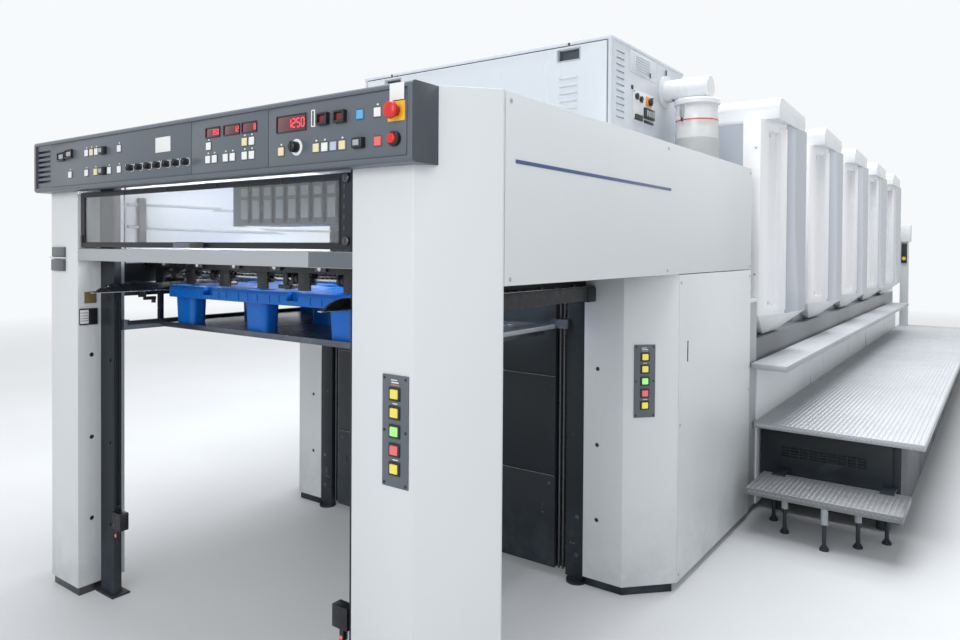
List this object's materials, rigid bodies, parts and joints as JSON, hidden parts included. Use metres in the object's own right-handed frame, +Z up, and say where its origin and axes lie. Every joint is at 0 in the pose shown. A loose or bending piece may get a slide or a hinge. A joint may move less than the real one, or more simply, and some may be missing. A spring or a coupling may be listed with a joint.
{
  "type": "offset printing press",
  "caption": "Sheet-fed offset printing press with delivery, pile lift, hinged window guard, row of printing towers, walkways and feeder.",
  "frame": {"origin": "on the floor, at the middle of the press's length and width", "axes": "+Z up, +Y along the press from the delivery to the feeder, +X to the right seen from the delivery"},
  "size_m": [3.612, 10.479, 2.222],
  "materials": {
    "cover_grey": "satin powder coat",
    "cover_white": "satin powder coat",
    "console_grey": "fine texture paint",
    "charcoal_metal": "satin paint",
    "machine_grey": "satin paint",
    "tread_plate": "checker plate",
    "window_pane": "clear polycarbonate",
    "blue_plastic": "moulded"
  },
  "bodies": {
    "press": {"front_column_left": "cover_grey", "front_column_right": "cover_grey", "front_posts": "charcoal_metal", "sensor_boxes": "charcoal_metal", "button_panels": "console_grey", "crossbar": "machine_grey", "console": "console_grey", "console_panel": "console_grey", "delivery_roof": "cover_grey", "side_frames": "charcoal_metal", "fan_housing": "charcoal_metal", "stop_bar": "charcoal_metal", "pile_guides": "charcoal_metal", "side_rails": "machine_grey", "side_panel_left": "cover_grey", "side_panel_right": "cover_grey", "rear_column_left": "cover_grey", "rear_column_right": "cover_grey", "rear_posts": "charcoal_metal", "rear_wall": "charcoal_metal", "side_cover_left": "cover_grey", "side_cover_right": "cover_grey", "delivery_core": "machine_grey", "top_cabinet": "cover_white", "cabinet_doors": "cover_white", "air_tube": "cover_white", "filter_canister": "cover_white", "tower_1": "cover_grey", "tower_2": "cover_grey", "tower_3": "cover_grey", "tower_4": "cover_grey", "tower_5": "cover_grey", "cylinder_guards": "machine_grey", "guards_right": "cover_white", "guards_left": "cover_white", "hoods": "cover_white", "press_base": "machine_grey", "base_walls": "cover_white", "upper_walkways": "tread_plate", "lower_walkways": "tread_plate", "walkway_boxes": "charcoal_metal", "steps": "tread_plate", "step_legs": "charcoal_metal", "feeder_frames": "cover_grey", "feeder_posts": "cover_grey", "feeder_beams": "cover_grey", "feed_table": "machine_grey", "feeder_head": "machine_grey", "feeder_board": "machine_grey", "control_post": "cover_grey"},
    "pile": {"pile_board": "charcoal_metal", "pallet": "blue_plastic"},
    "window_guard": {"guard_frame": "charcoal_metal", "guard_window": "window_pane"}
  },
  "joints": [
    {"name": "pile_lift", "type": "slide", "parent": "press", "child": "pile", "axis": [0, 0, 1], "range_m": [-0.88, 0]},
    {"name": "guard_hinge", "type": "hinge", "parent": "press", "child": "window_guard", "pos_m": [0, -5.1465, 1.506], "axis": [-1, 0, 0], "range_deg": [0, 80]}
  ]
}
